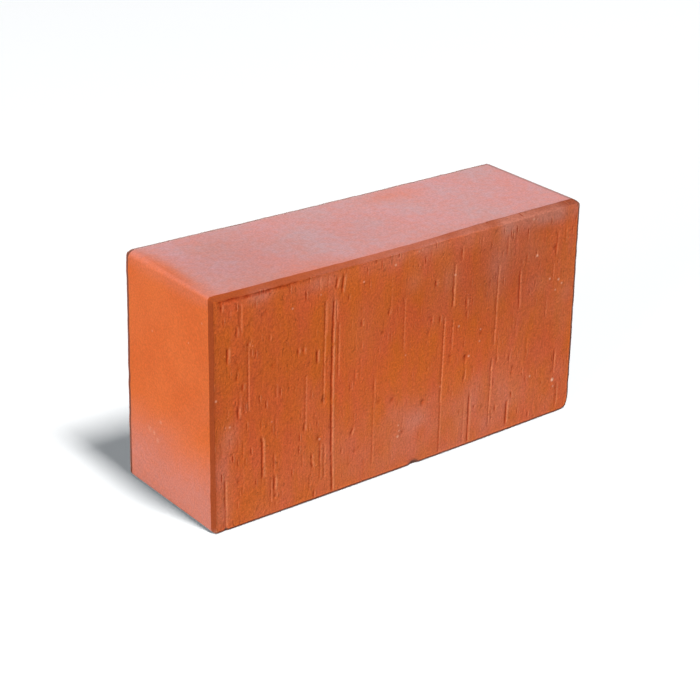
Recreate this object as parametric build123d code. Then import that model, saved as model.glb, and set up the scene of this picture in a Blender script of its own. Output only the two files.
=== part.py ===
from build123d import *
import os

# A solid wire-cut clay brick, standing on one long narrow side.
# X runs along its length, Y through its thickness and Z up its width.
# The two wire-cut faces look along -Y and +Y. The other four sides are the skin left by the die.

# Overall size, in mm
length = 230.0
width = 120.0
thickness = 75.0

# Rounded corners of the clay column, named as seen from the cut face that looks along -Y
top_left_radius = 4.0
top_right_radius = 2.5
bottom_left_radius = 3.5
bottom_right_radius = 6.0

# Bevel around both cut faces: how far it reaches into the face, and how deep through the thickness
bevel_margin = 1.5
bevel_depth = 3.5

# Least corner radius left where the margin takes up a whole rounded corner
least_radius = 0.2


def column_outline(inset):
    """Rounded outline of the clay column in the X-Z plane, drawn in on every side by inset."""
    left = -length / 2 + inset
    right = length / 2 - inset
    bottom = inset
    top = width - inset
    corners = [(left, bottom), (right, bottom), (right, top), (left, top)]
    column_radii = [bottom_left_radius, bottom_right_radius, top_right_radius, top_left_radius]
    radii = [max(radius - inset, least_radius) for radius in column_radii]
    return FilletPolyline(*corners, radius=radii, close=True)


def brick_solid():
    """One slice of the column: straight sides, and a bevel that draws each cut face in by the margin."""
    half = thickness / 2
    outlines = [
        (half, bevel_margin),
        (half - bevel_depth, 0),
        (-half + bevel_depth, 0),
        (-half, bevel_margin),
    ]
    with BuildPart() as brick:
        for place, inset in outlines:
            with BuildSketch(Plane.XZ.offset(place)):
                with BuildLine():
                    column_outline(inset)
                make_face()
        loft(ruled=True)
    return brick.part


os.makedirs("parts", exist_ok=True)
brick = brick_solid()
brick.label = "brick"
export_step(brick, "parts/brick.step")
print("brick size", brick.bounding_box().size, "volume", brick.volume)
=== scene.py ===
import math
from functools import partial

import bpy
import numpy as np
from mathutils import Matrix, Vector


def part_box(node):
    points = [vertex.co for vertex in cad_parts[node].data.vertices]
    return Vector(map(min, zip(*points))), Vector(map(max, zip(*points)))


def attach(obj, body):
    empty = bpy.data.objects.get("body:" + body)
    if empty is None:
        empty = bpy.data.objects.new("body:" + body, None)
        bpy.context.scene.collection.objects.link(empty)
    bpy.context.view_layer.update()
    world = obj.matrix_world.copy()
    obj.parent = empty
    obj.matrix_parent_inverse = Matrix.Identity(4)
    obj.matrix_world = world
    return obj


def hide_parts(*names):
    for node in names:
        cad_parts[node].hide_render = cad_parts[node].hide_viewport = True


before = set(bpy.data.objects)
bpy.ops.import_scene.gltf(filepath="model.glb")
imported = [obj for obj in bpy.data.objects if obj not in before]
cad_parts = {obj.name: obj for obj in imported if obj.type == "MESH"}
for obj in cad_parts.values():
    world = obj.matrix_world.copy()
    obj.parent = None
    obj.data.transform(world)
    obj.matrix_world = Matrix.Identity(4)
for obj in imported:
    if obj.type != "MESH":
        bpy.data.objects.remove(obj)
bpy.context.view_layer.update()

mm = 0.001  # shapes are worked out in millimetres, the scene is in metres

scene = bpy.context.scene
scene.view_settings.view_transform = "Standard"


# the brick: a slice of an extruded clay column, cut by wire on its two large faces; lengths in mm
brickShape = {
    # lattice lines along the length, the thickness and the width, between the bevels
    "columns": 468, "layers": 7, "rows": 78,
    # columns crowd at the marks, more so where a mark is deeper than the start; rows crowd at the edges
    "crowdLeast": 0.4, "crowdGain": 8, "crowdStart": 0.25, "crowdReach": 0.75, "rowCrowd": 1, "rowReach": 4,
    # rounded corners of the column, seen from the front cut face
    "topLeftRadius": 4.0, "topRightRadius": 2.5, "bottomLeftRadius": 2.2, "bottomRightRadius": 6.0,
    "frontSharpening": 0.65,  # share of the upper left radius that is gone at the front
    # bevel round the cut faces: reach into the face, depth through the thickness
    "topMargin": 2.0, "topDepth": 3.5, "bottomMargin": 1.4, "bottomDepth": 0.9,
    "topMarginRight": 1.2, "topDepthRight": 5.3,  # the front's upper bevel is flatter at the right
    "topWidens": (0.5, 0.75),  # where it changes, as shares of the length
    "leftMargin": 1.3, "leftDepth": 3.0, "rightMargin": 2.0, "rightDepth": 1.2,
    "backMargin": 0.4, "backDepth": 1.0,  # the back's bevel, as shares of the front's
    "latticeDepth": 3.5,  # depth that the lattice gives to the bevel before each side takes its own
    "bevelWander": 0.3, "bevelWanderLength": 5.0,  # how far the edges of the bevel stray, and how often
    # the fired brick is a little out of square
    "rightFoot": 1.8, "rightTop": -1.1,  # how far the right end stands out at its foot and at its top
    "rightBack": 2.4,  # how much further out it stands at the back
    "leftBackFoot": -1.0, "leftBackTop": 1.1,  # how far the left end's back edge leans to the right
    "bow": 0.9,  # how far the middle stands towards the front
    "skinWave": 0.14, "skinWaveAround": 16.0, "skinWaveAcross": 30.0,  # hollows of the die skin
    # relief of the cut faces, which lie back a little so that lips and grains stay within the brick
    "cutSink": 0.3, "cutWave": 0.22, "cutWaveWidth": 22.0, "cutWaveLength": 40.0,
    "tearShare": 0.7, "scoreShare": 0.9, "lipShare": 0.25,  # how much of its depth a mark presses or raises
    "pitSpread": 0.85, "grainSpread": 0.65,  # width of the bells of pits and grains, as shares of a radius
    "grainRise": 0.15,
    # widths of the marks to the left and right, each for no depth and what a mm of depth adds
    "tearReach": ((0.35, 0.25), (0.3, 0.25)), "scoreReach": ((1.3, 0.0), (0.4, 0.0)),
    "dragReach": ((0.4, 0.0), (0.4, 0.0)),
    # how the marks run: lines that stray, depth that comes and goes, tapered ends
    "wander": 0.2, "wanderLength": 3.5,
    "surge": 0.85, "surgeSwing": 0.35, "surgeLength": 1.8, "surgeWidth": 6.0,
    "taper": 2.0, "taperShare": 0.45,  # length of an end, at most this share of the mark
    "lipPlace": 2.2,  # how far the lip lies from the mark, in widths of the mark's right side
    "scoreCounts": 1.5, "scoreEnds": (1.2, 1.6), "scoreFarthest": 2.0,  # how far beside it a score is felt
    # short faint drags on each cut face: number, stray, room below and above, lowest end, drop, slant
    # and depth
    "smallDrags": 70, "dragStray": 0.6, "dragRoom": (8, 3), "dragLowest": 2, "dragDrop": (2, 16),
    "dragSlant": 0.3, "dragDepth": (0.08, 0.26),
    "tearFull": 0.5, "pitFull": 0.9, "lipFull": 0.7, "scoreFull": 0.4,  # depth at which each mark's painted shade and highlight show in full
    "dragDark": 1.8, "dragLip": 1.2, "lineDark": 1.6,  # painted shade that a mm of a drag or of the dark line shows, and painted highlight for a drag's lip
    "chipReach": 6,  # how far through the thickness a chip goes
    # a dark line under the front's upper bevel, pressed in and painted with shade, deep at the left and
    # gone before the middle
    "lineHeight": 117.4, "lineWander": 0.35, "lineDepth": 0.38, "lineWidth": 0.75,
    "lineStart": (-112.5, -110), "lineEnd": (45, 90),  # the end is counted to the left of the middle
    # where the finishes lie thick or thin, as shares
    "lowerBrown": 0.9, "upperBrown": 0.75, "upperBrownRight": 0.15,  # front's bevel, and gain at the right
    "upperShade": 0.2, "upperShadeRight": 0.36, "backShade": 0.5,  # painted shade of the bevels
    "rightRimShade": 0.75, "lowerRimShade": 0.4, "backRimShade": 0.6, "cornerRimShade": 0.9,  # painted grey shade on the rims
    # dust and painted sheen on the die skin: the pink of the top and of the ends' foot and top edge is
    # partly a painted reflection of the white room and floor
    "topDustAndSheen": 0.92, "topDrift": 0.06, "endFootDustAndSheen": 0.45, "endTopDustAndSheen": 0.12, "endDrift": 0.05,
    "cutCloud": 0.12, "backDust": 0.3, "backDrift": 0.25,
    "pluckedLeast": 0.35, "pluckedRight": 0.5, "pluckedBack": 0.6,  # plucked clay of the cut faces
}

# marks that the wire left on the front cut face, in mm from its bottom middle:
# x and z at the upper end, x and z at the lower end, depth
wireTears = [
    (-46.8, 104, -47.3, 80, 0.85), (-47.3, 81, -47.4, 50, 0.85), (-47.4, 51, -46.9, 22, 0.85),
    (-46.9, 23, -46, 0.5, 0.75), (-106.6, 95, -106.6, 85.5, 0.8), (-95.4, 94, -95.4, 91.5, 0.8),
    (-94, 95, -94.8, 93, 0.7), (-98.3, 75, -98.5, 70.5, 0.8), (-101, 63.5, -100.8, 56, 0.8),
    (-88.8, 44.4, -87.6, 41.5, 0.8), (-87.6, 43, -87.6, 21.5, 0.85), (-80.8, 22, -80.6, 12.5, 0.8),
    (-80.2, 12.3, -80, 8.6, 0.7), (-80.2, 7, -80.2, 4.5, 0.4), (-81, 33.5, -81, 24, 0.4),
    (-41.1, 115.5, -42.2, 105, 0.85), (-44.6, 115, -45.9, 108.5, 0.85), (-56.3, 81, -56.3, 72.5, 0.75),
    (-29.9, 89.5, -29.9, 85, 0.85), (-33.3, 33.6, -35.8, 28, 0.8), (-22.3, 118.3, -21.3, 115.5, 0.6),
    (-58.7, 26.3, -59.1, 22, 0.8), (-59.1, 22.5, -58, 17.5, 0.8), (-13.3, 91, -13.3, 87, 0.75),
    (14.2, 80, 14.2, 75.5, 0.75), (19.7, 79, 19.7, 74.5, 0.9), (15.7, 99, 16, 94.7, 0.8),
    (36.8, 84.5, 36.8, 78.5, 0.75), (37.4, 78, 37.4, 72, 0.45), (32, 112, 32, 107, 0.4),
    (22.2, 31, 22.3, 0.5, 0.42), (63.3, 113, 63, 100, 0.35), (42.1, 30.5, 42.2, 0.7, 0.65),
    (104.5, 108, 104.3, 98, 0.35), (60.2, 46, 60.2, 43, 0.6),
    (60.8, 18, 61, 13.5, 0.8), (73, 92, 73.6, 69, 0.6), (77.4, 99, 77.4, 94, 0.45),
    (77, 111, 77, 105, 0.3), (69.3, 18.3, 69.4, 3, 0.85), (72.2, 22.3, 72.2, 18.6, 0.7),
    (69, 45, 69, 41, 0.6), (82, 29.5, 82, 25, 0.75), (94, 23, 94, 19.5, 0.5),
    (102.7, 39, 102.7, 30, 0.6), (98.6, 107, 98.2, 92, 0.4), (-53.8, 31, -53.8, 10, 0.45),
    (-57.1, 6.5, -57.3, 0.5, 0.6), (-63.5, 43.5, -63.5, 39, 0.6), (-64.2, 84.5, -64.2, 80, 0.85),
    (-67.3, 84.5, -67.5, 80, 0.85), (-83.5, 95.5, -83.5, 91, 0.4), (-21.5, 57, -21.6, 48, 0.45),
    (-21.6, 49, -21.6, 8, 0.25), (27.4, 99, 27.4, 88, 0.35), (27.6, 85, 27.6, 81, 0.5),
    (37.5, 42, 37.5, 37, 0.5), (35.6, 22, 35.6, 20, 0.5), (45.8, 22.5, 45.8, 20, 0.5),
    (57, 80, 57, 71, 0.35), (56.4, 42, 56.4, 38, 0.4), (85.4, 7.5, 85.4, 2.5, 0.65),
    (82.5, 10.5, 82.5, 8, 0.4), (105.8, 19, 105.8, 3, 0.35), (109, 18, 109, 8, 0.3),
    (-101.6, 103.5, -101.8, 98, 0.75), (-105.4, 113, -105.4, 107.5, 0.3),
    (-109.6, 116.8, -109.8, 112, 0.75),
    (-82.9, 118, -82.9, 115, 0.4), (-33.2, 63, -33.2, 58, 0.4), (-29.7, 78, -29.7, 73, 0.35),
    (12.3, 115, 12.3, 112.5, 0.5), (-6.2, 40, -6.2, 36.5, 0.4), (-40.8, 24.5, -40.8, 20, 0.45),
    (-43.3, 80, -43.3, 76, 0.4), (-38.2, 105, -38.2, 100, 0.4), (-51.3, 105, -51.3, 86, 0.35),
    (-108.5, 29, -108.7, 11, 0.3), (66, 46, 66, 43, 0.35), (12.5, 53, 12.5, 50.5, 0.4),
]
# scores, with a long slope on the left and a steep rise on the right, that the material paints with a
# highlight beside a shade
paleScores = [
    (-51.3, 105, -51.8, 70, 0.4), (-51.8, 71, -51.8, 50, 0.35), (-50.8, 30, -50.8, 9, 0.3),
    (-43.3, 92, -43.3, 62, 0.3), (-44.8, 103, -44.8, 92, 0.3), (-98.8, 115, -98.8, 99, 0.25),
    (-95, 93, -95, 58, 0.3), (-97.2, 65, -97.2, 58, 0.3), (-79.2, 70, -79.2, 61, 0.25),
    (-107.9, 28, -107.9, 0.5, 0.35), (-82.3, 20, -82.3, 6, 0.3), (-62.4, 70, -62.4, 39, 0.3),
    (-59.5, 15, -59.5, 5, 0.25), (-54.8, 117, -54.8, 109, 0.25), (-49.8, 117, -49.8, 110, 0.3),
    (-3.2, 95, -3.2, 65, 0.25), (7.5, 109, 7.5, 106, 0.3), (33, 113, 33, 104, 0.3),
    (45.8, 115, 45.8, 111, 0.3), (28.6, 105, 28.6, 82, 0.45), (28.6, 75, 28.6, 57, 0.25),
    (23.2, 78, 22.4, 29, 0.4), (58.3, 98, 57.9, 52, 0.35),
    (38.6, 46, 38.6, 38, 0.35), (44.2, 45, 44.2, 40, 0.3), (57.1, 46, 56.9, 5, 0.4),
    (39, 28, 39, 1, 0.2), (30.2, 35, 30.2, 31, 0.3), (84.6, 100, 84.6, 95, 0.4),
    (74.5, 97, 74.5, 93, 0.3), (97.6, 90, 97.6, 78, 0.25), (94, 70, 94, 58, 0.25),
    (103.5, 36, 103.5, 24, 0.35), (107, 18, 107, 4, 0.35), (69.8, 43, 69.8, 39, 0.35),
]
# x, z, radius and depth of pits where a grain was pulled out
pulledGrains = [
    (-52, 53, 1.3, 1), (10.4, 34, 1.3, 1), (38.1, 51.2, 1.4, 1), (-55, 33.5, 1.1, 0.8),
    (-53.8, 31, 1, 0.8), (-85.5, 106.5, 1, 0.6),
    (-81.6, 78.7, 1, 0.7), (-17, 79, 1, 0.6), (-9.7, 41, 1, 0.8), (27.3, 54.7, 0.9, 0.6),
    (27.3, 51.5, 0.8, 0.5), (12.8, 79, 0.8, 0.5), (12.5, 71.5, 0.8, 0.5), (-101, 24.2, 1, 0.6),
    (-2.2, 21, 0.9, 0.6), (97.3, 97.7, 1, 0.6), (72.3, 36.5, 0.9, 0.6), (71.7, 33.3, 0.8, 0.5),
    (75.5, 34, 0.8, 0.5), (77.3, 32.3, 0.8, 0.5), (55.9, 60.6, 0.8, 0.5), (57.8, 60.3, 0.8, 0.5),
    (-72.8, 67.5, 0.8, 0.5), (-18.3, 42.5, 1, 0.6), (-101.8, 86, 0.9, 0.6), (-100.5, 82, 0.9, 0.6),
    (-101.6, 78, 1, 0.6), (-96.8, 32.5, 0.8, 0.5), (-100.3, 35.6, 0.8, 0.5), (-35.9, 13, 0.8, 0.5),
    (-32.5, 19.5, 0.8, 0.5), (-30, 20.5, 0.8, 0.5), (101.7, 26, 1, 0.6), (47.8, 62.5, 0.9, 0.6),
    (-26.8, 11.3, 0.9, 0.5), (-25.4, 18.8, 0.8, 0.5), (23.5, 118.2, 0.9, 0.5), (-87.5, 105, 0.8, 0.5),
]
# x, z and radius of pale grains that stand in the cut face
paleGrains = [
    (-70.7, 105, 0.8), (-54.5, 108, 0.7), (-10.2, 112.7, 0.9), (-92.8, 92, 0.6), (-113, 69.5, 0.9),
    (-105.6, 54.2, 0.8), (-82.3, 50.3, 0.7), (-54, 32.5, 0.9), (-5, 25.5, 0.8), (-5.2, 19.3, 1),
    (-4.4, 22.3, 0.8), (-2, 63.3, 0.7), (47.5, 64.5, 0.8), (47.2, 58, 0.8), (32.4, 70, 0.9),
    (40.3, 51.5, 0.9), (84.6, 96, 1), (80.3, 116.7, 0.9), (95, 80.8, 0.9), (101.5, 79, 1),
    (104, 76.3, 0.9), (99.7, 73.5, 0.8), (102.6, 20.6, 1.4), (103.4, 16.5, 0.9), (85.3, 27.5, 0.9),
    (-29.3, 108.5, 0.8), (21.8, 39.4, 0.7), (28.5, 98.5, 0.9), (4.2, 116.4, 0.7), (6.4, 116.8, 0.65),
    (82.9, 116.2, 0.7),
]
# x, z, half width, half height and depth of chips along the front's lower edge
edgeChips = [(6, 0.4, 2.4, 1.4, 1.2), (-108.2, 0.4, 0.8, 1.1, 0.8)]
# x, z, radius and strength of pale bruises on the front's bevel
paleBruises = [(113.8, 117.2, 1.1, 0.6), (113, 8.5, 1.2, 0.5), (113.4, 5, 1.1, 0.5),
               (112.6, 14, 1, 0.35), (111, 3, 1.1, 0.35), (-113.5, 1.5, 1.1, 0.4)]
# x, z, half width, half height and strength of the dusty bloom on the front cut face and its bevel
frontBlooms = [
    (-89, 115.5, 8, 3, 0.5), (-57, 114, 10, 4, 0.45), (-47, 103, 3, 8, 0.3), (-106, 49, 5, 7, 0.45),
    (-110, 32, 5, 12, 0.35), (-110, 10, 6, 10, 0.3), (5, 117, 14, 3, 0.4), (2, 103, 5, 7, 0.35),
    (26, 99, 7, 9, 0.3), (57, 94, 8, 18, 0.45), (63.5, 108, 6, 8, 0.4), (88, 75, 13, 20, 0.25),
    (72, 117, 22, 4, 0.45), (97, 116, 17, 5, 0.8), (74, 103, 18, 12, 0.3),
    (107, 80, 7, 26, 0.35), (8, 25, 8, 7, 0.3), (-8, 31, 9, 7, 0.2), (62, 18, 55, 20, 0.27),
    (70, 119.5, 45, 1.5, 0.5), (-30, 119.5, 40, 1.5, 0.2), (0, 15, 120, 25, 0.15), (-5, 20, 45, 22, 0.12),
    (0, 116, 40, 6, 0.25), (48, 115, 20, 6, 0.25),
]
# x, z, half width, half height and strength of patches where the front cut face is a little browner
dimPatches = [(65, 95, 45, 30, 0.33), (-88, 80, 35, 48, 0.2), (95, 55, 25, 30, 0.14), (0, 92, 60, 28, 0.16),
              (-112, 60, 4, 80, 0.16), (97, 116, 25, 7, 0.2)]
# x, y, half length, half width and strength of patches where the top is a little browner
topDims = [(-80, -5, 40, 40, 0.24), (-10, -5, 30, 25, 0.09)]
# x, y, half length, half width and strength of patches that the dust leaves bare or thickens on the top
topPatches = [
    (35, 25, 22, 9, -0.28), (-97, 22, 4, 11, 0.3), (-88, -4, 9, 9, 0.25), (-30, -8, 6, 18, 0.3),
    (28, 8, 8, 9, 0.3), (67, 20, 8, 11, 0.3), (-112, 0, 5, 40, -0.7), (-20, -34, 115, 5, -0.2),
    (-85, 0, 30, 45, -0.12), (-65, -31, 28, 8, -0.15),
]
# y, z and radius of pale specks on the left end
endSpecks = [(13.5, 86.5, 0.9), (7.5, 41, 1.4), (17.5, 33.5, 2.2), (13.5, 33, 1.6), (10.5, 30, 1.8),
             (-18, 92, 0.6)]


def easeStep(low, high, value):
    # 0 below low and 1 above high, with 3t^2 - 2t^3 between them
    part = np.clip((value - low) / (high - low), 0, 1)
    return part * part * (3 - 2 * part)


def softNoise(u, v, seed):
    # random heights from -1 to 1 on a square lattice that repeats, eased from corner to corner
    cells = 64
    heights = np.random.default_rng(seed).uniform(-1, 1, (cells, cells))
    uCell = np.floor(u).astype(int)
    vCell = np.floor(v).astype(int)
    uEase = easeStep(0, 1, u - uCell)
    vEase = easeStep(0, 1, v - vCell)
    uHere, uNext = uCell % cells, (uCell + 1) % cells
    vHere, vNext = vCell % cells, (vCell + 1) % cells
    lowRow = heights[uHere, vHere] * (1 - uEase) + heights[uNext, vHere] * uEase
    highRow = heights[uHere, vNext] * (1 - uEase) + heights[uNext, vNext] * uEase
    return lowRow * (1 - vEase) + highRow * vEase


def crowdedLines(low, high, count, places, crowding, reach):
    # lines that share out evenly the running total of a density: 1, plus a bell at each crowded place
    fine = np.linspace(low, high, 8001)  # much finer than the narrowest bell
    density = 1 + (crowding * np.exp(-((fine[:, None] - places) / reach) ** 2)).max(axis=1)
    total = np.concatenate(([0], np.cumsum((density[1:] + density[:-1]) / 2)))
    return np.interp(np.linspace(0, total[-1], count + 1), total, fine)


def boxSkin(xLines, yLines, zLines):
    # the points of a box lattice that lie on its outside, each once, and the four-sided faces between them
    counts = (len(xLines), len(yLines), len(zLines))
    inside = np.zeros(counts, bool)
    inside[1:-1, 1:-1, 1:-1] = True
    number = np.full(counts, -1)
    number[~inside] = np.arange((~inside).sum())
    xPlace, yPlace, zPlace = np.nonzero(~inside)
    points = np.stack((xLines[xPlace], yLines[yPlace], zLines[zPlace]), axis=1)
    sides = [(number[:, 0, :], 1), (number[:, -1, :], -1), (number[0], -1), (number[-1], 1),
             (number[:, :, 0], -1), (number[:, :, -1], 1)]
    faces = []
    for grid, turn in sides:
        ring = np.stack((grid[:-1, :-1], grid[1:, :-1], grid[1:, 1:], grid[:-1, 1:]), axis=-1)
        faces.append(ring.reshape(-1, 4)[:, ::turn])
    return points, np.concatenate(faces)


def markFade(z, mark, shape):
    # 1 along a mark, eased to 0 at its two ends
    zUpper, zLower = mark[1], mark[3]
    taper = min(shape["taper"], shape["taperShare"] * (zUpper - zLower))
    return easeStep(zLower, zLower + taper, z) * easeStep(-zUpper, taper - zUpper, -z)


def besideMark(x, z, mark):
    # distance from a mark's slanting line across the wire's way, positive to the right
    xUpper, zUpper, xLower, zLower, depth = mark
    along = np.clip((zUpper - z) / (zUpper - zLower), 0, 1)
    return x - xUpper - (xLower - xUpper) * along


def markRelief(x, z, marks, reaches, seed, shape):
    # the deepest of the marks at each point: a bell across the mark's line, tapered at its ends, with a
    # line that wanders and a depth that comes and goes; and the lip that the wire raised on its right
    (leftLeast, leftGain), (rightLeast, rightGain) = reaches
    wander = shape["wander"] * softNoise(z / shape["wanderLength"], x * 0 + 0.5, seed)
    surges = softNoise(z / shape["surgeLength"], x / shape["surgeWidth"], seed + 1)
    surge = shape["surge"] + shape["surgeSwing"] * surges
    deepest = np.zeros_like(x)
    lip = np.zeros_like(x)
    for mark in marks:
        depth = mark[4]
        left = leftLeast + leftGain * depth
        right = rightLeast + rightGain * depth
        side = besideMark(x - wander, z, mark)
        strength = depth * surge * markFade(z, mark, shape)
        deepest = np.maximum(deepest, strength * np.exp(-(side / np.where(side < 0, left, right)) ** 2))
        lip = np.maximum(lip, strength * np.exp(-((side - shape["lipPlace"] * right) / right) ** 2))
    return deepest, lip


def nearestMark(x, z, marks, shape):
    # at each point, the distance across the wire's way to the mark that counts most, and that mark's
    # strength, which fades out beside it, so that no line shows halfway between two marks
    farthest = shape["scoreFarthest"]
    side = np.full_like(x, farthest)
    strength = np.zeros_like(x)
    most = np.zeros_like(x)
    for mark in marks:
        across = besideMark(x, z, mark)
        here = mark[4] * markFade(z, mark, shape)
        weight = here * np.exp(-(across / shape["scoreCounts"]) ** 2)
        side = np.where(weight > most, across, side)
        strength = np.where(weight > most, here, strength)
        most = np.maximum(most, weight)
    fade = 1 - easeStep(*shape["scoreEnds"], np.abs(side))
    return np.clip(side, -farthest, farthest), strength * fade


def roundSpots(x, z, spots):
    # the highest of the bells exp(-(distance / radius)^2), each times the spot's last value
    highest = np.zeros_like(x)
    for xSpot, zSpot, radius, amount in spots:
        highest = np.maximum(highest, amount * np.exp(-((x - xSpot) ** 2 + (z - zSpot) ** 2) / radius ** 2))
    return highest


def softPatches(u, v, patches):
    # the sum of oval bells, each times its strength
    total = np.zeros_like(u)
    for uPatch, vPatch, uHalf, vHalf, strength in patches:
        total += strength * np.exp(-((u - uPatch) / uHalf) ** 2 - ((v - vPatch) / vHalf) ** 2)
    return total


def strewnDrags(seed, places, height, shape):
    # short faint marks beside the known ones, at random heights, as rows like those of wireTears
    draw = np.random.default_rng(seed)
    count = shape["smallDrags"]
    below, above = shape["dragRoom"]
    x = draw.choice(places, count) + draw.normal(0, shape["dragStray"], count)
    upper = draw.uniform(below, height - above, count)
    drop = draw.uniform(*shape["dragDrop"], count)
    lower = np.maximum(upper - drop, shape["dragLowest"])
    slant = draw.normal(0, shape["dragSlant"], count)
    return list(zip(x, upper, x + slant, lower, draw.uniform(*shape["dragDepth"], count)))


def otherSide(rows, height, draw):
    # marks of the back face: those of the front mirrored, each moved to another height
    room = 3  # left free below and above
    moved = []
    for xUpper, zUpper, xLower, zLower, depth in rows:
        span = zUpper - zLower
        upper = room + span + draw.uniform(0, height - span - 2 * room)
        moved.append((-xUpper, upper, -xLower, upper - span, depth))
    return moved


def cutRelief(x, z, side, shape, height):
    # how far a cut face lies back at each point, in mm; where it is hollow and where a lip rises, from 0 to
    # 1, which the material paints with shade and with a highlight; and the place and strength of the
    # nearest pale score
    draw = np.random.default_rng(40)
    front = side < 0
    seed = 10 if front else 20
    tears = wireTears if front else otherSide(wireTears, height, draw)
    scores = paleScores if front else otherSide(paleScores, height, draw)
    pits = [(a, b, shape["pitSpread"] * c, d) for a, b, c, d in pulledGrains]
    grains = [(a, b, shape["grainSpread"] * c, 1.0) for a, b, c in paleGrains]
    if not front:
        # every other pit and grain of the front, turned half round
        pits = [(-a, height - b, c, d) for a, b, c, d in pits[::2]]
        grains = [(-a, height - b, c, d) for a, b, c, d in grains[::2]]
    drags = strewnDrags(seed + 4, [row[0] for row in tears + pits], height, shape)
    torn, tornLip = markRelief(x, z, tears, shape["tearReach"], seed, shape)
    scored = markRelief(x, z, scores, shape["scoreReach"], seed + 2, shape)[0]
    faint, faintLip = markRelief(x, z, drags, shape["dragReach"], seed + 5, shape)
    pitted = roundSpots(x, z, pits)
    proud = roundSpots(x, z, grains)
    waves = softNoise(x / shape["cutWaveWidth"], z / shape["cutWaveLength"], seed + 7)
    back = (shape["cutSink"] + shape["cutWave"] * (0.5 + 0.5 * waves) + shape["tearShare"] * torn
            + shape["scoreShare"] * scored + faint + pitted
            - shape["lipShare"] * tornLip - shape["grainRise"] * proud)
    if front:
        line = shape["lineHeight"] + shape["lineWander"] * softNoise(x / 5, z * 0 + 0.5, 8)
        ends = easeStep(*shape["lineStart"], x) * easeStep(*shape["lineEnd"], -x)
        lineDepth = shape["lineDepth"] * ends * (0.8 + 0.5 * softNoise(x / 3, z * 0, 9))
        pressed = lineDepth * np.exp(-((z - line) / shape["lineWidth"]) ** 2)
        back = back + pressed
        torn = np.maximum(torn, shape["lineDark"] * pressed)
    hollow = np.clip(torn / shape["tearFull"] + pitted / shape["pitFull"] + shape["dragDark"] * faint, 0, 1)
    lip = np.clip(tornLip / shape["lipFull"] + shape["dragLip"] * faintLip, 0, 1)
    scoreSide, scoreDepth = nearestMark(x, z, scores, shape)
    return np.maximum(back, 0), hollow, lip, scoreSide, np.clip(scoreDepth / shape["scoreFull"], 0, 1)


def endLean(toRight, toTop, shape):
    # how far the lean of the right end moves a point: in full at that end, not at all at the left one
    return toRight * (shape["rightFoot"] + (shape["rightTop"] - shape["rightFoot"]) * toTop)


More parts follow.
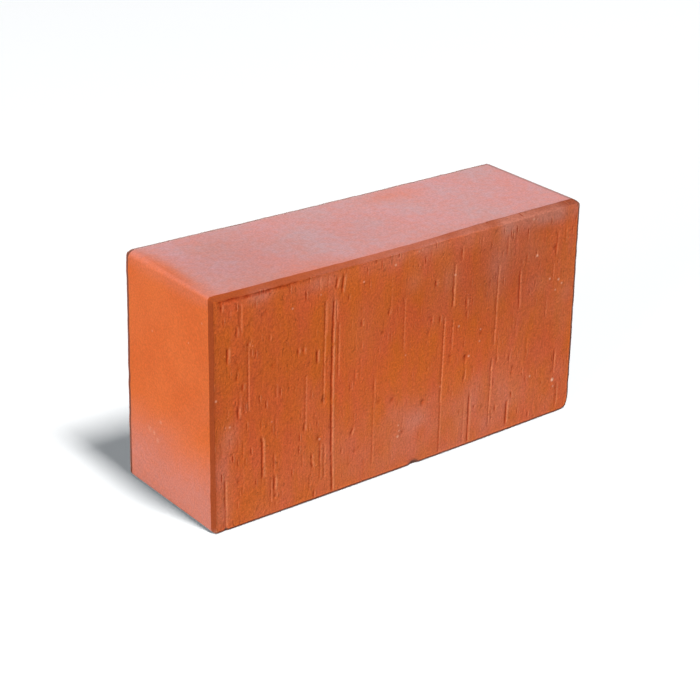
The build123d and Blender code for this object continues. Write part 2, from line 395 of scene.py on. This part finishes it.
def brickSurface(points, shape):
    # lattice points carried to the brick's surface: corner squares drawn in to quarter circles,
    # edges of the cut faces cut back along a bevel, then relief pressed in along the normal
    low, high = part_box("brick")
    halfLength = high.x / mm
    halfThickness = high.y / mm
    height = high.z / mm
    middle = height / 2
    x, y, z = points.T.copy()

    # rounded corners, and each point's distance from the outline with the outline's outward normal there
    xSide = np.where(x < 0, -1, 1)
    zSide = np.where(z < middle, -1, 1)
    toBack = 0.5 + y / (2 * halfThickness)
    upperRadius = np.where(xSide < 0, shape["topLeftRadius"], shape["topRightRadius"])
    upperRadius = upperRadius * (1 - shape["frontSharpening"] * (1 - toBack) * (xSide < 0))
    lowerRadius = np.where(xSide < 0, shape["bottomLeftRadius"], shape["bottomRightRadius"])
    radius = np.where(zSide > 0, upperRadius, lowerRadius)
    xOut = xSide * x - (halfLength - radius)
    zOut = zSide * (z - middle) - (middle - radius)
    inCorner = (xOut > 0) & (zOut > 0)
    longest = np.maximum(xOut, zOut)
    reach = np.where(inCorner, np.hypot(xOut, zOut), 1)
    squeeze = np.where(inCorner, longest / reach, 1)
    fromOutline = radius - longest
    besideEnd = xOut > zOut
    xNormal = np.where(inCorner, xOut / reach, besideEnd) * xSide
    zNormal = np.where(inCorner, zOut / reach, ~besideEnd) * zSide
    x = xSide * (halfLength - radius + xOut * squeeze)
    z = middle + zSide * (middle - radius + zOut * squeeze)

    # bevel: share runs from -1 where it meets the cut face to 1 where it meets the skin
    xShare = np.where(inCorner, xNormal ** 2, easeStep(-0.8, 0.8, xOut - zOut))
    zShare = 1 - xShare
    toRight = 0.5 + x / (2 * halfLength)
    widening = easeStep(*shape["topWidens"], toRight) * (y < 0)
    topMargin = shape["topMargin"] + (shape["topMarginRight"] - shape["topMargin"]) * widening
    topDepth = shape["topDepth"] + (shape["topDepthRight"] - shape["topDepth"]) * widening
    margin = (np.where(xSide < 0, shape["leftMargin"], shape["rightMargin"]) * xShare
              + np.where(zSide < 0, shape["bottomMargin"], topMargin) * zShare)
    depth = (np.where(xSide < 0, shape["leftDepth"], shape["rightDepth"]) * xShare
             + np.where(zSide < 0, shape["bottomDepth"], topDepth) * zShare)
    lattice = shape["latticeDepth"]
    ySide = np.where(y < 0, -1, 1)
    margin = margin * np.where(ySide < 0, 1, shape["backMargin"])
    depth = depth * np.where(ySide < 0, 1, shape["backDepth"])
    fromCut = halfThickness - np.abs(y)
    onCut = fromCut < 1e-6
    inward = fromOutline / margin
    share = np.clip(np.where(onCut, -inward, fromCut / lattice), -1, 1)
    onSkin = share >= 1
    stretched = depth + (fromCut - lattice) * (halfThickness - depth) / (halfThickness - lattice)
    inset = np.where(share <= -1, fromOutline, margin * (1 - share) / 2)
    back = np.where(onSkin, stretched, depth * (1 + share) / 2)

    # the bevel's two edges stray a little, each side in its own way
    around = np.where(xShare > zShare, z, x) + 300 * (xSide + 2 * zSide)
    stray = shape["bevelWander"] * softNoise(around / shape["bevelWanderLength"], ySide * 1.5, 3)
    faceEdge = onCut * easeStep(0, 1, inward) * (1 - easeStep(1, 4, inward))
    skinEdge = ~onCut * easeStep(0, 1, fromCut / lattice) * (1 - easeStep(1, 4, fromCut / lattice))
    inset = inset + 0.6 * stray * faceEdge
    back = back + stray * skinEdge

    # the right end leans, and the marks lie on the leaning face
    toTop = z / height
    lean = endLean(toRight, toTop, shape)
    xSeen = x + lean

    # relief of the cut faces, which fades out on the bevel
    reliefFade = onCut * easeStep(0.6, 1.2, inward)
    marks = {name: np.zeros_like(x) for name in ("hollow", "lip", "scoreSide", "scoreDepth")}
    for side in (-1, 1):
        pick = onCut & (ySide == side)
        fade = reliefFade[pick]
        relief, hollow, lip, scoreSide, scoreDepth = cutRelief(xSeen[pick], z[pick], side, shape, height)
        back[pick] += relief * fade
        marks["hollow"][pick] = hollow * fade
        marks["lip"][pick] = lip * fade
        marks["scoreSide"][pick] = scoreSide
        marks["scoreDepth"][pick] = scoreDepth * fade

    # chips out of the front's lower edge
    chip = softPatches(xSeen, z, edgeChips) * (y < 0) * easeStep(-shape["chipReach"], 0, -fromCut)
    back = back + chip

    # hollows of the die skin, pressed in along the outline's normal
    skinWaves = softNoise(around / shape["skinWaveAround"], y / shape["skinWaveAcross"], 5)
    skinHollow = shape["skinWave"] * (0.5 + 0.5 * skinWaves)
    press = inset - fromOutline + ~onCut * skinHollow * easeStep(0, 1, share)
    placed = np.stack((x - xNormal * press, ySide * (halfThickness - back), z - zNormal * press), axis=1)

    # out of square: the right end and the left end's back edge lean, and the middle bows forward
    leftShift = shape["leftBackFoot"] + (shape["leftBackTop"] - shape["leftBackFoot"]) * toTop
    placed[:, 0] += lean + toRight * toBack * shape["rightBack"] + (1 - toRight) * toBack * leftShift
    placed[:, 1] -= shape["bow"] * (1 - (x / halfLength) ** 2)

    masks = finishMasks(shape, x=x, y=y, z=z, xSeen=xSeen, xSide=xSide, ySide=ySide, zSide=zSide,
                        xShare=xShare, inCorner=inCorner, onCut=onCut, inward=inward, share=share,
                        chip=chip, fromRight=x - halfLength)
    return placed, {**masks, **marks}


def finishMasks(shape, x, y, z, xSeen, xSide, ySide, zSide, xShare, inCorner, onCut, inward, share,
                chip, fromRight):
    # amounts from 0 to 1 that the material mixes by: eased steps along the sides, and bells at the patches
    zShare = 1 - xShare
    front = ySide < 0
    upper = zSide > 0
    onBevel = easeStep(0.0, 0.1, 1 - np.abs(share))
    onTop = ~onCut * upper * zShare * (1 - onBevel)
    farRight = easeStep(20, 110, x)

    # cut clay, which reaches over the front's upper bevel from the middle to the right
    tornBevel = onBevel * easeStep(-20, 50, x) * zShare * upper * front
    cutFace = np.maximum(onCut * easeStep(0.8, 0.95, inward), tornBevel)

    # brown arrises round the cut faces, and along the upper right corner
    upperBrown = shape["upperBrown"] + shape["upperBrownRight"] * farRight
    frontBrown = xShare + np.where(upper, upperBrown, shape["lowerBrown"]) * zShare
    cornerBand = easeStep(0.0, 0.1, xShare) * (1 - easeStep(0.4, 0.6, xShare))
    farCorner = inCorner * (xSide > 0) * upper * cornerBand
    arris = np.maximum(np.where(front, frontBrown, 1.0) * onBevel, farCorner)

    # painted shade on the bevels, and browner clay in patches of the front and the top
    frontShade = (shape["upperShade"] + shape["upperShadeRight"] * farRight) * upper * zShare
    dim = np.maximum(onBevel * np.where(front, frontShade, shape["backShade"]),
                     softPatches(xSeen, z, dimPatches) * cutFace * front)
    dim = np.maximum(dim, softPatches(x, y, topDims) * onTop)

    # painted grey shade on the front's right and lower rims, the back's rim, the top's right rim and in the
    # chips
    rightRim = 0.5 * easeStep(-3.8, -3.1, fromRight) + 0.5 * easeStep(-2.6, -1.9, fromRight)
    rightRim = rightRim * (onTop > 0.3)
    frontGrime = shape["rightRimShade"] * xShare * (xSide > 0) + shape["lowerRimShade"] * zShare * ~upper
    rimShade = np.maximum(onBevel * np.where(front, frontGrime, shape["backRimShade"]),
                       shape["cornerRimShade"] * np.maximum(farCorner, rightRim))
    rimShade = np.maximum(rimShade, np.clip(3 * chip, 0, 1))
    bruise = roundSpots(x, z, paleBruises) * onBevel * front

    # dust, with painted sheen on the die skin: thick on the top and at the foot of the ends, in clouds and
    # patches on the cut faces
    drift = softNoise(x / 9, z / 9 + y / 13, 6)
    topDustSheen = shape["topDustAndSheen"] + softPatches(x, y, topPatches) + shape["topDrift"] * drift
    endDustSheen = (shape["endFootDustAndSheen"] * easeStep(-54, -8, -z) + shape["endTopDustAndSheen"] * easeStep(110, 118, z)
                + shape["endDrift"] * drift)
    cloud = np.maximum(softNoise(x / 15, z / 28, 12), 0)
    frontBloom = softPatches(xSeen, z, frontBlooms) * (0.85 + 0.4 * drift) + shape["cutCloud"] * cloud
    frontBloom = frontBloom * (1 - 0.8 * onBevel * xShare)
    backBloom = shape["backDust"] + shape["backDrift"] * drift
    skinDustSheen = (topDustSheen * zShare + endDustSheen * xShare) * (1 - farCorner)
    dustAndSheen = np.where(onCut | (onBevel > 0), np.where(front, frontBloom, backBloom * onCut), skinDustSheen)

    # plucked clay: most at the left and under the upper edge
    rightBand = shape["pluckedRight"] * easeStep(15, 60, x)
    roughBand = np.maximum(easeStep(20, 75, -x), np.maximum(easeStep(100, 112, z), rightBand))
    frontPlucked = shape["pluckedLeast"] + (1 - shape["pluckedLeast"]) * roughBand
    plucked = cutFace * np.where(front, frontPlucked, shape["pluckedBack"])
    return {"cutFace": cutFace, "arris": arris, "dim": dim, "rimShade": rimShade, "bruise": bruise,
            "dustAndSheen": np.clip(dustAndSheen, 0, 1), "plucked": plucked}


def bevelledLines(ends, bevels, count, places, crowding, reach):
    # lines that mark out a bevel at each end, and crowded lines between them
    steps = np.array([0, 0.45, 0.9, 1.0, 1.15])  # shares of the bevel
    first = ends[0] + bevels[0] * steps
    last = ends[1] - bevels[1] * steps[::-1]
    inner = crowdedLines(first[-1], last[0], count, places, crowding, reach)
    return np.concatenate((first, inner[1:-1], last))


def buildBrick(shape):
    # a box lattice over the CAD node's box, crowded at the marks and carried to the brick's surface
    low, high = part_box("brick")
    xEnds = np.array([low.x, high.x]) / mm
    yEnds = np.array([low.y, high.y]) / mm
    zEnds = np.array([low.z, high.z]) / mm
    marks = np.array(wireTears + paleScores)
    toRight = 0.5 + marks[:, 0] / (2 * xEnds[1])
    toTop = (marks[:, 1] + marks[:, 3]) / 2 / zEnds[1]
    markPlaces = marks[:, 0] - endLean(toRight, toTop, shape)
    crowding = np.maximum(shape["crowdGain"] * (marks[:, 4] - shape["crowdStart"]), shape["crowdLeast"])
    lattice = shape["latticeDepth"]
    xLines = bevelledLines(xEnds, (shape["leftMargin"], shape["rightMargin"]), shape["columns"],
                           markPlaces, crowding, shape["crowdReach"])
    yLines = bevelledLines(yEnds, (lattice, lattice), shape["layers"], yEnds, 0, 1)
    zLines = bevelledLines(zEnds, (shape["bottomMargin"], shape["topMargin"]), shape["rows"],
                           zEnds, shape["rowCrowd"], shape["rowReach"])
    points, faces = boxSkin(xLines, yLines, zLines)
    placed, finish = brickSurface(points, shape)
    mesh = bpy.data.meshes.new("brick")
    mesh.from_pydata(placed * mm, [], faces)
    mesh.polygons.foreach_set("use_smooth", np.ones(len(faces), bool))
    for name, values in finish.items():
        mesh.attributes.new(name, "FLOAT", "POINT").data.foreach_set("value", values.astype(np.float32))
    mesh.update()
    piece = bpy.data.objects.new("fired_brick", mesh)
    scene.collection.objects.link(piece)
    print("brick built:", len(placed), "points,", 2 * len(faces), "triangles")
    return piece


def speckPlaces(shape):
    # x, y, z, radius and strength of the pale specks on the left end, the front and, fewer, the back;
    # they are weaker where they are large on the end, and stronger where they are large on a cut face
    low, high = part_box("brick")
    halfThickness = high.y / mm
    sunk = shape["cutSink"] + shape["cutWave"] / 2
    places = [(low.x / mm, y, z, radius, 0.3 / radius) for y, z, radius in endSpecks]
    for number, (x, z, radius) in enumerate(paleGrains):
        forward = shape["bow"] * (1 - (x * mm / high.x) ** 2)
        strength = 0.9 * (radius - 0.45)
        places.append((x, sunk - halfThickness - forward, z, radius, strength))
        if number % 3 == 0:
            places.append((-x, halfThickness - sunk - forward, high.z / mm - z, radius, strength))
    return places


def linearColour(code):
    # sRGB hex to linear light, with an alpha of 1
    parts = [int(code[i:i + 2], 16) / 255 for i in (1, 3, 5)]
    return [p / 12.92 if p <= 0.04045 else ((p + 0.055) / 1.055) ** 2.4 for p in parts] + [1.0]


def addNode(tree, kind, inputs=None, **settings):
    # one shader node: an input given as a node is linked to that node's first output, one given as a
    # socket to that socket, and any other is set as a value. Inputs that share a name go by number.
    # Mix: 0 share, 2 and 3 values, 6 and 7 colours, and its colour is output 2.
    # Map Range: 1 and 2 the ends that it reads, 3 and 4 the ends that it gives.
    node = tree.nodes.new("ShaderNode" + kind)
    for name, value in settings.items():
        setattr(node, name, value)
    for name, value in (inputs or {}).items():
        if isinstance(value, bpy.types.Node):
            value = value.outputs[0]
        if isinstance(value, bpy.types.NodeSocket):
            tree.links.new(value, node.inputs[name])
        else:
            node.inputs[name].default_value = value
    return node


# fired brick clay: iron-red body, matte and torn where the wire cut it, tighter and smoother where the
# die pressed its skin, with pale dust and painted sheen on the long sides, brown arrises, painted shade in
# the hollows and on the rims, painted highlights on the lips, and small pale grains
clayFinish = {
    "colours": {
        # the dark red of the hollows is partly darker clay and partly painted shade, the pale orange is
        # painted highlight, the dark grey of the rims is painted shade, and the pink and grey dust is
        # partly painted sheen
        "cutClay": "#CE6325", "cutClayRed": "#D05D31", "skinClay": "#DA6B33", "skinClayDeep": "#D5652E",
        "sheenDustPink": "#CC9191", "sheenDustGrey": "#C39798", "cutDust": "#CE806A", "rimGrey": "#54463E",
        "arrisBrown": "#974018", "dimBrown": "#6C260A", "coreRust": "#A22C00", "scoreOrange": "#EE9A6C",
        "paleGrain": "#FAC3A4",
    },
    # patterns: width across the wire's way and length along it in mm, octaves
    "patterns": {
        "blotch": (28.0, 28.0, 3),  # slow changes of colour on the die skin
        "mottle": (3.5, 3.5, 4),  # dust that lies unevenly
        "grit": (0.9, 0.9, 2),  # real grit is finer and is drawn coarse enough to show
        "streak": (10.0, 24.0, 3),  # bands of redder clay and smeared dust on the cut faces
        "hairline": (1.0, 30.0, 2),  # the finest drag lines of the cut faces
        "torn": (1.0, 1.4, 3),  # torn clay between the marks
        "pluck": (2.2, 4.2, 2),  # small plucked hollows and crumbs
    },
    "evenDust": (0.8, 1.08), "streakDust": (0.75, 1.2),  # least and most dust, with painted sheen on the die skin, as shares of its mask
    # a score's painted highlight and the painted shade of its dark side: place and reach in mm across the
    # mark
    "scores": {"scoreLine": (0.6, 0.5), "scoreShade": (-0.3, 0.5)}, "scoreCore": 0.15, "scoreRagged": 0.7,
    # small drags: how far apart in x, y and z and how far bent in mm, and size as a share of the spacing
    "dashSpacing": (2.2, 20.0, 15.0), "dashBend": (0.9, 0.0, 2.0), "dashReach": 0.2,
    "dashShifts": {"dash": 0.0, "dashLip": -0.9},  # mm; the drag is painted shade, and its lip, a painted highlight, is the same drag again, to its right
    # what is laid over the clay, in this order: strength and colour; browner patches, bruises, and painted
    # shade and highlights
    "overlays": {
        "dashLip": (0.4, "scoreOrange"), "dash": (0.85, "coreRust"), "dim": (0.75, "dimBrown"),
        "hollow": (0.82, "coreRust"), "lip": (0.45, "scoreOrange"), "scoreShade": (0.5, "coreRust"),
        "scoreLine": (0.26, "scoreOrange"), "rimShade": (0.8, "rimGrey"), "bruise": (0.75, "paleGrain"),
    },
    "strewnSpacing": 24.0, "strewnRadius": 0.45, "strewnShare": 0.2,  # body's pale specks: mm, mm, strength
    # light and dark about one, least and most
    "gritSwing": (0.88, 1.12), "cutSwings": {"hairline": (0.975, 1.025), "torn": (0.92, 1.08)},
    # plucked clay: where in its pattern a hollow or a crumb starts and is full, and what it adds to the
    # tone: painted shade in a hollow, a painted highlight on a crumb
    "plucks": {"pit": (0.64, 0.72, -0.2), "crumb": (0.36, 0.28, 0.1)},
    # bumps, in this order: strength, and height in mm
    "bumps": {"grit": (0.15, 0.2), "torn": (0.7, 0.5), "hairline": (0.2, 0.25), "pluck": (0.6, 0.3)},
    "cutRoughness": 0.9, "skinRoughness": 0.65, "bodyIor": 1.5, "bodySpecular": 0.1,
}


def clayNoises(add, place, finish):
    # noise for each pattern, drawn out along the wire's way
    noises = {}
    for name, (width, length, octaves) in finish["patterns"].items():
        stretch = (1 / (width * mm), 1 / (width * mm), 1 / (length * mm))
        spot = add("Mapping", {"Vector": place, "Scale": stretch})
        noises[name] = add("TexNoise", {"Vector": spot, "Scale": 1.0, "Detail": octaves})
    return noises


def scoreMasks(add, mask, torn, finish):
    # a painted highlight beside a painted shade, both ragged, drawn from the distance across the mark
    ragged = add("Math", {0: torn, 1: finish["scoreRagged"], 2: mask["scoreSide"]},
                 operation="MULTIPLY_ADD")
    for name, (offset, reach) in finish["scores"].items():
        away = add("Math", {0: ragged, 1: offset}, operation="SUBTRACT")
        apart = add("Math", {0: away}, operation="ABSOLUTE")
        near = add("MapRange", {"Value": apart, 1: finish["scoreCore"], 2: reach, 3: 1.0, 4: 0.0})
        mask[name] = add("Math", {0: near, 1: mask["scoreDepth"]}, operation="MULTIPLY")


def dragMasks(add, place, mask, noises, finish):
    # small drags painted with shade and their lips with a highlight: stretched cells that the face cuts
    # through, thicker in some streaks than in others
    bend = tuple(reach * mm for reach in finish["dashBend"])
    bent = add("VectorMath", {0: noises["torn"].outputs["Color"], 1: bend, 2: place},
               operation="MULTIPLY_ADD")
    crowd = add("MapRange", {"Value": noises["streak"].outputs["Fac"], 1: 0.4, 2: 0.6, 3: 0.25, 4: 1.0})
    strewn = add("Math", {0: crowd, 1: mask["plucked"]}, operation="MULTIPLY")
    scale = tuple(1 / (spacing * mm) for spacing in finish["dashSpacing"])
    reach = finish["dashReach"]
    for name, shift in finish["dashShifts"].items():
        moved = (shift / finish["dashSpacing"][0], 0, 0)
        spot = add("Mapping", {"Vector": bent, "Scale": scale, "Location": moved})
        cells = add("TexVoronoi", {"Vector": spot, "Scale": 1.0})
        near = add("MapRange", {"Value": cells.outputs["Distance"], 1: 0.5 * reach, 2: reach,
                                3: 1.0, 4: 0.0})
        mask[name] = add("Math", {0: near, 1: strewn}, operation="MULTIPLY")


def speckMask(add, place, finish):
    # pale specks strewn through the body, and those that show on the left end and the cut faces
    spacing = finish["strewnSpacing"]
    edge = finish["strewnRadius"] / spacing
    cells = add("TexVoronoi", {"Vector": place, "Scale": 1 / (spacing * mm)})
    most = add("MapRange", {"Value": cells.outputs["Distance"], 1: edge, 2: edge * 1.6,
                            3: finish["strewnShare"], 4: 0.0})
    for x, y, z, radius, share in speckPlaces(brickShape):
        away = add("VectorMath", {0: place, 1: (x * mm, y * mm, z * mm)}, operation="DISTANCE")
        near = add("MapRange", {"Value": away.outputs["Value"], 1: 0.3 * radius * mm,
                                2: radius * mm, 3: share, 4: 0.0})
        most = add("Math", {0: most, 1: near}, operation="MAXIMUM")
    return most


def wireCutClay(finish):
    # body colour, then arrises, dust with painted sheen, marks with painted shade and highlights, rims with
    # painted shade and specks mixed over it by the brick's masks, with four bumps
    material = bpy.data.materials.new("fired_clay_wire_cut")
    material.use_nodes = True
    tree = material.node_tree
    tree.nodes.clear()
    add = partial(addNode, tree)
    tint = {name: linearColour(code) for name, code in finish["colours"].items()}
    place = add("TexCoord").outputs["Object"]
    mask = {}
    for name in ("cutFace", "arris", "hollow", "dim", "lip", "bruise", "rimShade", "dustAndSheen", "plucked",
                 "scoreSide", "scoreDepth"):
        mask[name] = add("Attribute", attribute_name=name).outputs["Fac"]
    noises = clayNoises(add, place, finish)
    pattern = {name: noise.outputs["Fac"] for name, noise in noises.items()}
    scoreMasks(add, mask, pattern["torn"], finish)
    dragMasks(add, place, mask, noises, finish)

    # body colour in slow blotches on the die skin, in streaks on the cut faces
    blotched = add("MapRange", {"Value": pattern["blotch"], 1: 0.35, 2: 0.65})
    streaked = add("MapRange", {"Value": pattern["streak"], 1: 0.35, 2: 0.65})
    skinTone = add("Mix", {0: blotched, 6: tint["skinClay"], 7: tint["skinClayDeep"]}, data_type="RGBA")
    cutTone = add("Mix", {0: streaked, 6: tint["cutClay"], 7: tint["cutClayRed"]}, data_type="RGBA")
    body = add("Mix", {0: mask["cutFace"], 6: skinTone.outputs[2], 7: cutTone.outputs[2]},
               data_type="RGBA")

    # brown arrises, then dust: even and pink or grey with painted sheen on the die skin, streaky and
    # browner on the cut faces
    edged = add("Mix", {0: mask["arris"], 6: body.outputs[2], 7: tint["arrisBrown"]}, data_type="RGBA")
    rough = add("Math", {0: mask["cutFace"], 1: mask["arris"]}, operation="MAXIMUM")
    least, most = finish["evenDust"]
    evenDust = add("MapRange", {"Value": pattern["mottle"], 1: 0.3, 2: 0.7, 3: least, 4: most})
    least, most = finish["streakDust"]
    streakDust = add("MapRange", {"Value": pattern["streak"], 1: 0.3, 2: 0.7, 3: least, 4: most})
    dustBreak = add("Mix", {0: mask["cutFace"], 2: evenDust, 3: streakDust}, data_type="FLOAT")
    dustSheenAmount = add("Math", {0: mask["dustAndSheen"], 1: dustBreak}, operation="MULTIPLY", use_clamp=True)
    sheenDustTone = add("Mix", {0: blotched, 6: tint["sheenDustPink"], 7: tint["sheenDustGrey"]}, data_type="RGBA")
    dustSheenColour = add("Mix", {0: rough, 6: sheenDustTone.outputs[2], 7: tint["cutDust"]}, data_type="RGBA")
    colour = add("Mix", {0: dustSheenAmount, 6: edged.outputs[2], 7: dustSheenColour.outputs[2]}, data_type="RGBA")

    # browner patches and painted shade on the bevels, painted shade in the hollows, drags and on the rims,
    # painted highlights on lips and scores, bruises and specks
    for name, (share, shade) in finish["overlays"].items():
        amount = add("Math", {0: mask[name], 1: share}, operation="MULTIPLY")
        colour = add("Mix", {0: amount, 6: colour.outputs[2], 7: tint[shade]}, data_type="RGBA")
    specks = speckMask(add, place, finish)
    colour = add("Mix", {0: specks, 6: colour.outputs[2], 7: tint["paleGrain"]}, data_type="RGBA")

    # light and dark about one: grit everywhere, hairlines and torn clay on the cut faces
    low, high = finish["gritSwing"]
    tone = add("MapRange", {"Value": pattern["grit"], 1: 0.3, 2: 0.7, 3: low, 4: high})
    heights = {"grit": pattern["grit"]}
    for name, (low, high) in finish["cutSwings"].items():
        swing = add("MapRange", {"Value": pattern[name], 1: 0.35, 2: 0.65, 3: low, 4: high})
        onCut = add("Mix", {0: mask["cutFace"], 2: 1.0, 3: swing}, data_type="FLOAT")
        tone = add("Math", {0: tone, 1: onCut}, operation="MULTIPLY")
        heights[name] = add("Math", {0: mask["cutFace"], 1: pattern[name]}, operation="MULTIPLY")

    # plucked clay: hollows painted with shade where the pattern is high, crumbs painted with a highlight
    # where it is low
    plucks = {}
    for name, (start, full, shade) in finish["plucks"].items():
        amount = add("MapRange", {"Value": pattern["pluck"], 1: start, 2: full})
        plucks[name] = add("Math", {0: amount, 1: mask["plucked"]}, operation="MULTIPLY")
        tone = add("Math", {0: plucks[name], 1: shade, 2: tone}, operation="MULTIPLY_ADD")
    raised = add("Math", {0: plucks["crumb"], 1: mask["dashLip"]}, operation="ADD")
    sunken = add("Math", {0: plucks["pit"], 1: mask["dash"]}, operation="ADD")
    heights["pluck"] = add("Math", {0: raised, 1: sunken}, operation="SUBTRACT")
    colour = add("Mix", {0: 1.0, 6: colour.outputs[2], 7: tone}, data_type="RGBA", blend_type="MULTIPLY")

    # each bump stands on the one before it
    normal = {}
    for name, (strength, rise) in finish["bumps"].items():
        bump = add("Bump", {"Height": heights[name], "Strength": strength, "Distance": rise * mm,
                            **normal})
        normal = {"Normal": bump}
    roughness = add("MapRange", {"Value": mask["cutFace"], 3: finish["skinRoughness"],
                                 4: finish["cutRoughness"]})
    shader = add("BsdfPrincipled", {
        "Base Color": colour.outputs[2], "Roughness": roughness, "IOR": finish["bodyIor"],
        "Specular IOR Level": finish["bodySpecular"], **normal})
    add("OutputMaterial", {"Surface": shader})
    print("fired clay material made")
    return material


brick = buildBrick(brickShape)
brick.data.materials.append(wireCutClay(clayFinish))
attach(brick, "root")
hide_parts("brick")
brick.visible_diffuse = False  # its red doesn't tint the floor, so the shadow stays grey


# floor, world and lamps: a plain white studio
studio = {
    "floorHalf": 5.0, "floorSeen": "#FFFFFF", "floorBounce": "#BBBBBB", "floorGlow": 0.01,
    "worldLevel": 0.17, "worldTint": "#ECF7FF",
    "lampDistance": 10.0,  # metres
    # direction to the lamp, panel size in metres, level on a surface facing it
    "frontPanel": {"toward": (0.05, -0.39, 0.92), "width": 1.3, "height": 2.6, "level": 0.9},
    "leftPanel": {"toward": (-0.95, -0.28, 0.1), "width": 4.0, "height": 1.6, "level": 0.76},
    # a low fill for the sides that the photo hides; it hardly reaches the floor
    "backPanel": {"toward": (0.5, 0.86, 0.05), "width": 4.0, "height": 1.0, "level": 0.4},
}


def seenOrBounced(add):
    # 1 for rays that come from the camera, a mirror or glass, 0 for light that bounces
    path = add("LightPath")
    seen = add("Math", {0: path.outputs["Is Camera Ray"], 1: path.outputs["Is Glossy Ray"]},
               operation="MAXIMUM")
    return add("Math", {0: seen, 1: path.outputs["Is Transmission Ray"]}, operation="MAXIMUM")


def buildFloor():
    # matte white paper: white where it is seen, and greyer in the light that it bounces
    half = studio["floorHalf"]
    corners = [(-half, -half, 0), (half, -half, 0), (half, half, 0), (-half, half, 0)]
    mesh = bpy.data.meshes.new("floor")
    mesh.from_pydata(corners, [], [(0, 1, 2, 3)])
    floor = bpy.data.objects.new("floor", mesh)
    scene.collection.objects.link(floor)
    material = bpy.data.materials.new("matte_white_paper")
    material.use_nodes = True
    tree = material.node_tree
    tree.nodes.clear()
    add = partial(addNode, tree)
    seen = seenOrBounced(add)
    paper = add("Mix", {0: seen, 6: linearColour(studio["floorBounce"]),
                        7: linearColour(studio["floorSeen"])}, data_type="RGBA")
    matte = add("BsdfDiffuse", {"Color": paper.outputs[2]})
    glowShare = add("Math", {0: seen, 1: studio["floorGlow"]}, operation="MULTIPLY")
    glow = add("Emission", {"Strength": glowShare})
    shader = add("AddShader", {0: matte, 1: glow})
    add("OutputMaterial", {"Surface": shader})
    mesh.materials.append(material)


def buildWorld():
    # white where it is seen, and dimmer and cooler as a light
    world = bpy.data.worlds.new("white_room")
    scene.world = world
    world.use_nodes = True
    tree = world.node_tree
    tree.nodes.clear()
    add = partial(addNode, tree)
    seen = seenOrBounced(add)
    strength = add("MapRange", {"Value": seen, 3: studio["worldLevel"], 4: 1.0})
    colour = add("Mix", {0: seen, 6: linearColour(studio["worldTint"]), 7: (1, 1, 1, 1)},
                 data_type="RGBA")
    light = add("Background", {"Color": colour.outputs[2], "Strength": strength})
    add("OutputWorld", {"Surface": light})


def buildLamp(name):
    # a panel of power P at distance d lights a facing white surface to about P / (pi d)^2
    lamp = studio[name]
    distance = studio["lampDistance"]
    data = bpy.data.lights.new(name, "AREA")
    data.shape = "RECTANGLE"
    data.size = lamp["width"]
    data.size_y = lamp["height"]
    data.energy = lamp["level"] * (math.pi * distance) ** 2
    panel = bpy.data.objects.new(name, data)
    toward = Vector(lamp["toward"]).normalized()
    panel.location = toward * distance
    panel.rotation_euler = toward.to_track_quat("Z", "Y").to_euler()
    scene.collection.objects.link(panel)


buildFloor()
buildWorld()
for name in ("frontPanel", "leftPanel", "backPanel"):
    buildLamp(name)
print("floor, world and lamps placed")


# camera at the photograph's viewing angle, fitted to the brick's edges
view = {
    "place": (-493.7, -611.8, 411.4),  # mm
    "azimuth": -38.526, "elevation": 24.619, "roll": 1.334,  # degrees
    "focalPixels": 1695.2, "imagePixels": 700, "sensor": 36.0,
}


def buildCamera():
    # looks along the azimuth and elevation, turned about that line by the roll
    azimuth = math.radians(view["azimuth"])
    elevation = math.radians(view["elevation"])
    roll = math.radians(view["roll"])
    forward = Vector((-math.sin(azimuth) * math.cos(elevation), math.cos(azimuth) * math.cos(elevation),
                      -math.sin(elevation)))
    level = forward.cross(Vector((0, 0, 1))).normalized()
    upright = level.cross(forward)
    right = level * math.cos(roll) + upright * math.sin(roll)
    top = upright * math.cos(roll) - level * math.sin(roll)
    data = bpy.data.cameras.new("camera")
    data.sensor_width = view["sensor"]
    data.lens = view["focalPixels"] / view["imagePixels"] * view["sensor"]
    camera = bpy.data.objects.new("camera", data)
    turned = Matrix((right, top, -forward)).transposed().to_4x4()
    turned.translation = Vector(view["place"]) * mm
    camera.matrix_world = turned
    scene.collection.objects.link(camera)
    scene.camera = camera


buildCamera()
print("camera placed")
